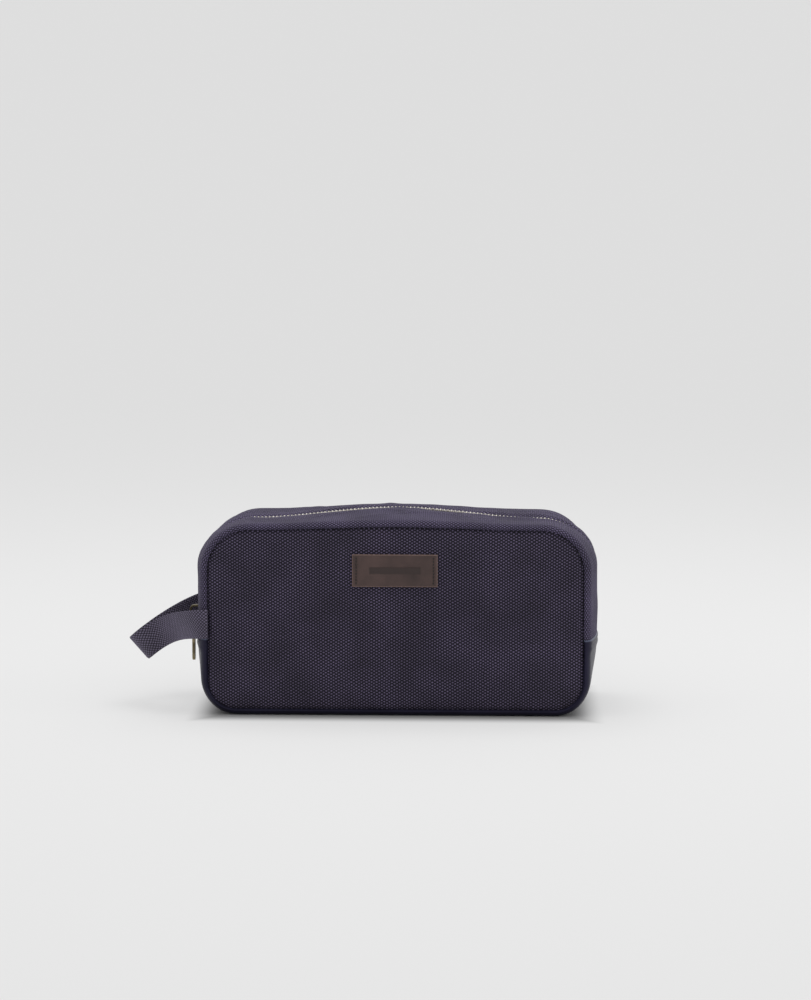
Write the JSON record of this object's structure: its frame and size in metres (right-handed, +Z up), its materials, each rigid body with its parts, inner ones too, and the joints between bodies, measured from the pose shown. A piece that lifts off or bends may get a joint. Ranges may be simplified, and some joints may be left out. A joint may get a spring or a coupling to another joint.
{
  "type": "shaving kit bag",
  "caption": "Soft zip-top wash bag with a leather base, rolled canvas edges, a metal zip over the crown and a webbing hand loop at one end.",
  "frame": {"origin": "centre of the flat leather base, on the surface the bag stands on", "axes": "+X to the right end (the hand loop is at -X), front panel with the patch faces -Y, +Z up"},
  "size_m": [0.329, 0.1126, 0.139],
  "materials": {
    "canvas": "heavy dark indigo canvas with a raised staggered dot weave",
    "gusset_canvas": "the same canvas, turned edgeways and a little lighter",
    "base_leather": "smooth dark navy leather with a soft sheen",
    "lining": "plain grey woven lining",
    "zip_tape": "dark herringbone zip tape",
    "zip_metal": "pale worn brass",
    "slider_metal": "pale antique brass",
    "puller_metal": "antique brass with dark hollows",
    "webbing": "dark indigo webbing with a coarse plain weave",
    "patch_leather": "matt brown leather with a lighter cut edge",
    "patch_thread": "dark brown waxed thread",
    "thread": "dark blue-grey thread"
  },
  "bodies": {
    "base": {"leather_base": "base_leather", "leather_edge_stitches": "thread", "base_lining": "lining", "front_panel_lower": "canvas", "back_panel_lower": "canvas", "front_lining_lower": "lining", "back_lining_lower": "lining", "front_panel_fold": "canvas", "back_panel_fold": "canvas", "front_gusset_fold": "gusset_canvas", "back_gusset_fold": "gusset_canvas", "front_lining_fold": "lining", "back_lining_fold": "lining", "zip_tape_fold": "zip_tape", "zip_teeth_fold": "zip_metal", "loop_end_front": "webbing", "loop_end_back": "webbing"},
    "front_half": {"front_panel": "canvas", "front_gusset": "gusset_canvas", "front_lining": "lining", "front_gusset_lining": "lining", "front_zip_tape": "zip_tape", "front_zip_teeth": "zip_metal", "front_zip_teeth_leg": "zip_metal", "patch": "patch_leather", "patch_stitches": "patch_thread"},
    "back_half": {"back_panel": "canvas", "back_gusset": "gusset_canvas", "back_lining": "lining", "back_gusset_lining": "lining", "back_zip_tape": "zip_tape", "back_zip_teeth": "zip_metal", "back_zip_teeth_leg": "zip_metal"},
    "slider": {"slider": "slider_metal"},
    "puller": {"puller": "puller_metal"},
    "hand_loop": {"hand_loop": "webbing"}
  },
  "joints": [
    {"name": "front_half_open", "type": "hinge", "parent": "base", "child": "front_half", "pos_m": [0, 0, 0.063], "axis": [1, 0, 0], "range_deg": [0, 18], "deforming": ["front_panel_fold", "front_gusset_fold", "front_lining_fold", "zip_tape_fold", "zip_teeth_fold"]},
    {"name": "back_half_open", "type": "hinge", "parent": "base", "child": "back_half", "pos_m": [0, 0, 0.063], "axis": [-1, 0, 0], "range_deg": [0, 18], "deforming": ["back_panel_fold", "back_gusset_fold", "back_lining_fold"]},
    {"name": "slider_slide", "type": "slide", "parent": "base", "child": "slider", "axis": [0, 0, 1], "range_m": [0, 0.028], "deforming": ["front_zip_teeth_leg", "back_zip_teeth_leg"]},
    {"name": "puller_swing", "type": "hinge", "parent": "slider", "child": "puller", "pos_m": [-0.1436, 0, 0.0596], "axis": [0, 1, 0], "range_deg": [0, 120]},
    {"name": "hand_loop_swing", "type": "hinge", "parent": "base", "child": "hand_loop", "pos_m": [-0.143, 0, 0.0625], "axis": [0, 1, 0], "range_deg": [-35, 45], "deforming": ["loop_end_front", "loop_end_back"]}
  ]
}
